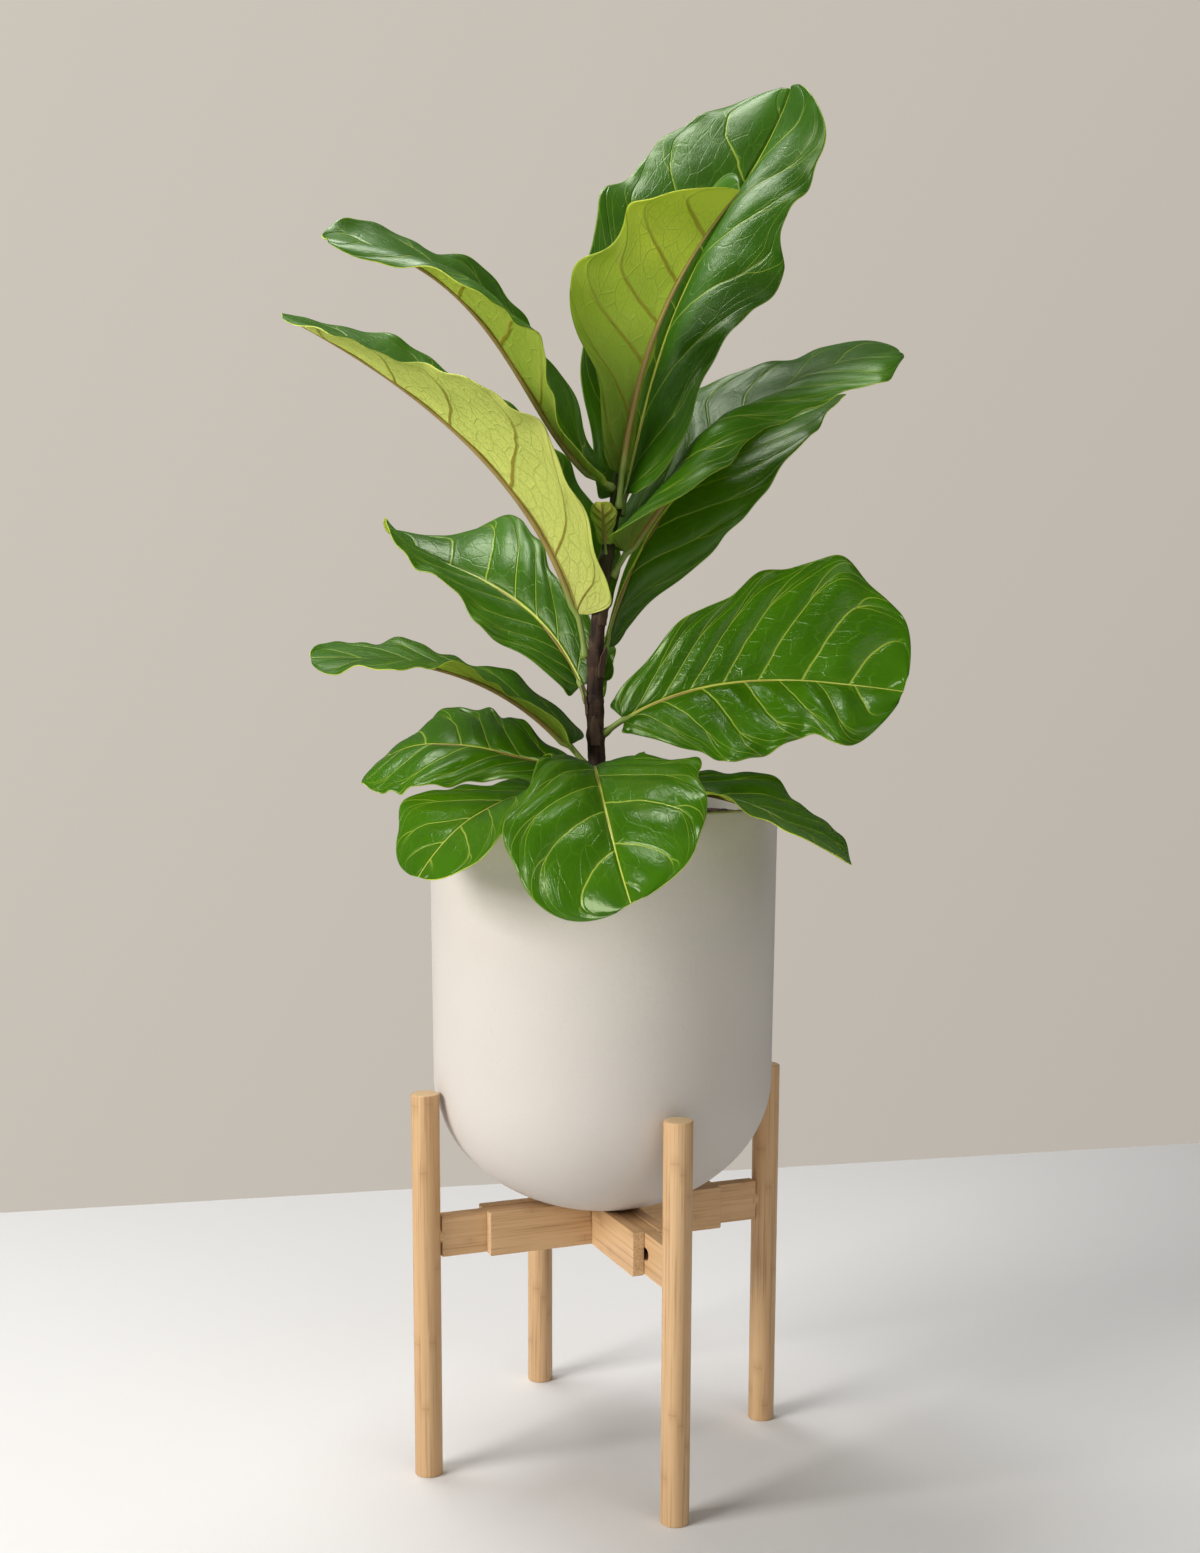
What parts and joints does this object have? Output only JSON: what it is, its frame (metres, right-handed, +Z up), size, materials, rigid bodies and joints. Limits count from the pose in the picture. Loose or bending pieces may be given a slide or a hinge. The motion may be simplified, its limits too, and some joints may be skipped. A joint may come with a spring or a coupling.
{
  "type": "potted fiddle leaf fig on an adjustable plant stand",
  "caption": "Fiddle leaf fig in a round-bottomed cylindrical pot, held off the floor by an adjustable four-legged bamboo cross stand.",
  "frame": {"origin": "middle of the bounding box, at floor level under the leg feet", "axes": "+Z up the stem, +X along the stand beam towards the right leg, +Y along the other beam towards the back leg"},
  "size_m": [0.5354, 0.4766, 1.2022],
  "materials": {
    "pot": "matt warm off-white ceramic glaze",
    "bamboo": "clear satin lacquer on laminated bamboo with visible joints",
    "soil": "loose dark potting soil",
    "bark": "rough young bark",
    "leaf": "waxy dark green upper face, paler matt underside, pale yellow-green veins",
    "sheath": "dry papery brown",
    "steel": "zinc-plated"
  },
  "bodies": {
    "plant_and_planter": {"bud_sheath_1": "sheath", "bud_sheath_2": "sheath", "bud_sheath_3": "sheath", "bud_sheath_4": "sheath", "cheek_x_bolted": "bamboo", "cheek_x_threaded": "bamboo", "cheek_y_bolted": "bamboo", "cheek_y_threaded": "bamboo", "clamp_bolt_back": "steel", "clamp_bolt_front": "steel", "clamp_bolt_left": "steel", "clamp_bolt_right": "steel", "leaf_broad_right": "leaf", "leaf_crown_back": "leaf", "leaf_crown_front": "leaf", "leaf_dark_right": "leaf", "leaf_long_left": "leaf", "leaf_low_left": "leaf", "leaf_middle_left": "leaf", "leaf_narrow_left": "leaf", "leaf_rim_front": "leaf", "leaf_rim_left": "leaf", "leaf_rim_right": "leaf", "leaf_small_back": "leaf", "leaf_tip_young": "leaf", "leaf_upper_left": "leaf", "leaf_upper_right": "leaf", "planter_pot": "pot", "potting_soil": "soil", "stem": "bark", "threaded_insert_back": "steel", "threaded_insert_front": "steel", "threaded_insert_left": "steel", "threaded_insert_right": "steel"},
    "leg_slide_back": {"arm_back": "bamboo", "leg_back": "bamboo"},
    "leg_slide_front": {"arm_front": "bamboo", "leg_front": "bamboo"},
    "leg_slide_left": {"arm_left": "bamboo", "leg_left": "bamboo"},
    "leg_slide_right": {"arm_right": "bamboo", "leg_right": "bamboo"}
  },
  "joints": [
    {"name": "slide_left", "type": "slide", "parent": "plant_and_planter", "child": "leg_slide_left", "axis": [-1, 0, 0], "range_m": [0, 0.03]},
    {"name": "slide_right", "type": "slide", "parent": "plant_and_planter", "child": "leg_slide_right", "axis": [1, 0, 0], "range_m": [0, 0.03]},
    {"name": "slide_front", "type": "slide", "parent": "plant_and_planter", "child": "leg_slide_front", "axis": [0, -1, 0], "range_m": [0, 0.03]},
    {"name": "slide_back", "type": "slide", "parent": "plant_and_planter", "child": "leg_slide_back", "axis": [0, 1, 0], "range_m": [0, 0.03]}
  ]
}
